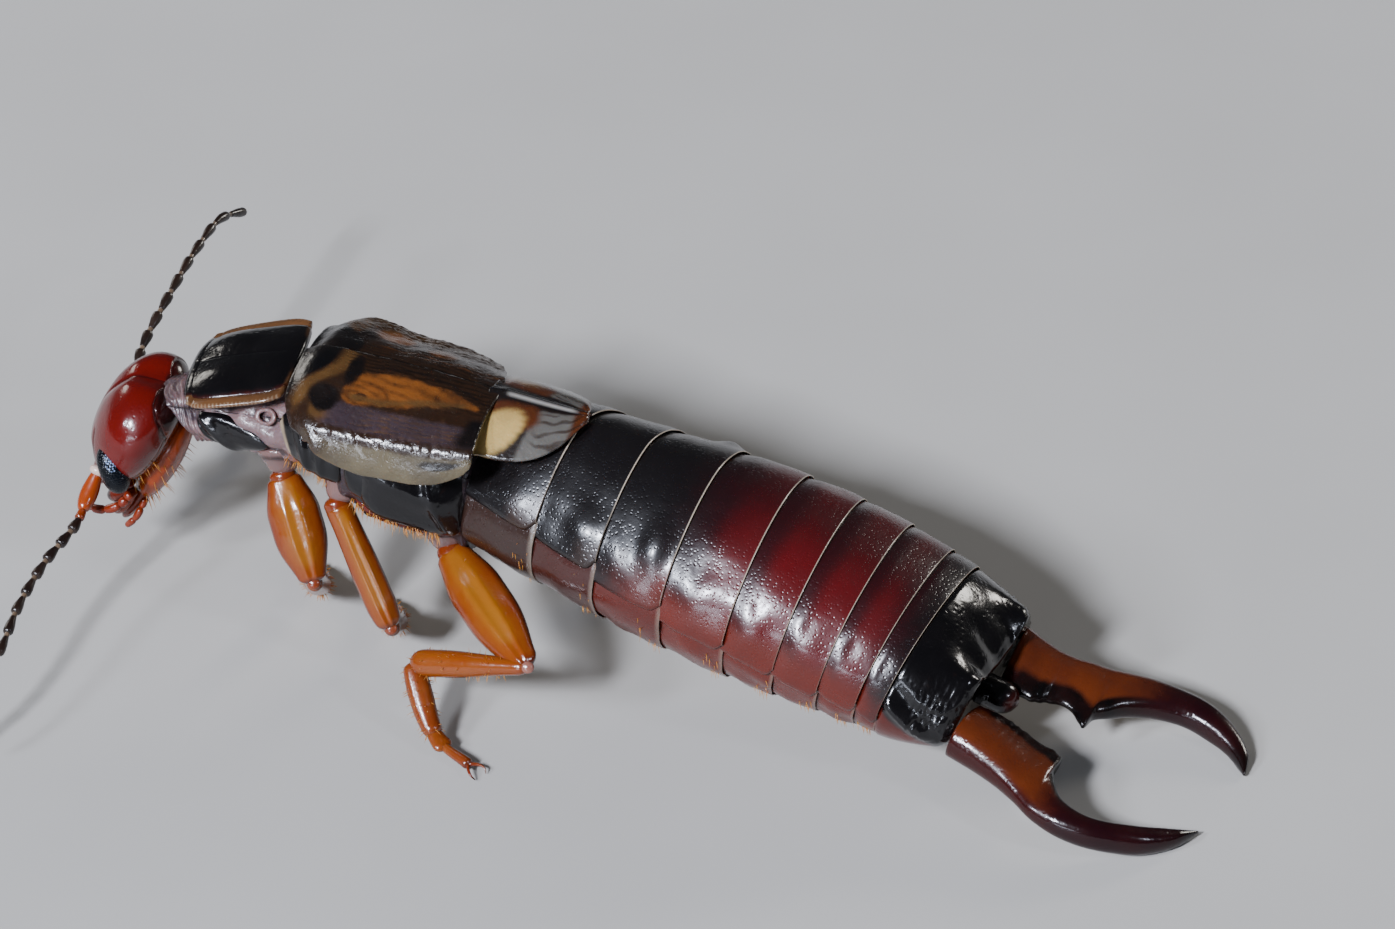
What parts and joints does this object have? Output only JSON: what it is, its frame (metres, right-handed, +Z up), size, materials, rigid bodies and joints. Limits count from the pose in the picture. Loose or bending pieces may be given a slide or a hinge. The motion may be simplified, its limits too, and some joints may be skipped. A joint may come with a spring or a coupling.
{
  "type": "male common earwig",
  "caption": "Life-size earwig standing with raised chest and hanging head, its sloping abdomen ending in a pair of bowed forceps that rest on the ground.",
  "frame": {"origin": "centre of the bounding box at floor level", "axes": "+Z up, the floor the animal stands on is Z = 0; -Y is where the head points; +X is the animal's left"},
  "size_m": [0.012, 0.0184, 0.0046],
  "materials": {
    "head_capsule": "smooth, glossy dark red horn",
    "eye_lens": "glossy blue-black facets",
    "soft_membrane": "soft grey-pink skin between plates",
    "black_plate": "hard black horn, finely pitted, satin to glossy",
    "wing_cover": "leathery translucent brown horn, glossy",
    "wing_tip": "folded hind wing with a cream spot, glossy",
    "maroon_plate": "dark red-brown horn, finely pitted, glossy",
    "forceps_horn": "amber horn at the root, dark maroon to the tip",
    "feeler_scape": "glossy orange horn",
    "feeler_bead": "dark brown horn",
    "mouth_horn": "orange-red horn with bristles",
    "leg_horn": "glossy translucent orange horn"
  },
  "bodies": {
    "root": {"head": "head_capsule", "eye_left": "eye_lens", "eye_right": "eye_lens", "neck": "soft_membrane", "pronotum": "black_plate", "prothorax": "black_plate", "mesothorax": "black_plate", "metathorax": "black_plate", "tegmen_left": "wing_cover", "tegmen_right": "wing_cover", "wing_tip_left": "wing_tip", "wing_tip_right": "wing_tip", "abdomen_02": "black_plate", "abdomen_03": "black_plate", "abdomen_04": "black_plate", "abdomen_05": "maroon_plate", "abdomen_06": "maroon_plate", "abdomen_07": "maroon_plate", "abdomen_08": "maroon_plate", "abdomen_09": "maroon_plate", "abdomen_10": "black_plate", "pygidium": "black_plate", "forceps_left": "forceps_horn", "forceps_right": "forceps_horn", "antenna_left_scape": "feeler_scape", "antenna_left_mid": "feeler_bead", "antenna_left_tip": "feeler_bead", "antenna_right_scape": "feeler_scape", "antenna_right_mid": "feeler_bead", "antenna_right_tip": "feeler_bead", "labrum": "mouth_horn", "mandible_left": "mouth_horn", "mandible_right": "mouth_horn", "labium": "mouth_horn", "palp_left": "mouth_horn", "palp_right": "mouth_horn", "coxa_front_left": "soft_membrane", "femur_front_left": "leg_horn", "tibia_front_left": "leg_horn", "tarsus_front_left": "leg_horn", "coxa_mid_left": "soft_membrane", "femur_mid_left": "leg_horn", "tibia_mid_left": "leg_horn", "tarsus_mid_left": "leg_horn", "coxa_hind_left": "soft_membrane", "femur_hind_left": "leg_horn", "tibia_hind_left": "leg_horn", "tarsus_hind_left": "leg_horn", "coxa_front_right": "soft_membrane", "femur_front_right": "leg_horn", "tibia_front_right": "leg_horn", "tarsus_front_right": "leg_horn", "coxa_mid_right": "soft_membrane", "femur_mid_right": "leg_horn", "tibia_mid_right": "leg_horn", "tarsus_mid_right": "leg_horn", "coxa_hind_right": "soft_membrane", "femur_hind_right": "leg_horn", "tibia_hind_right": "leg_horn", "tarsus_hind_right": "leg_horn"}
  },
  "joints": []
}
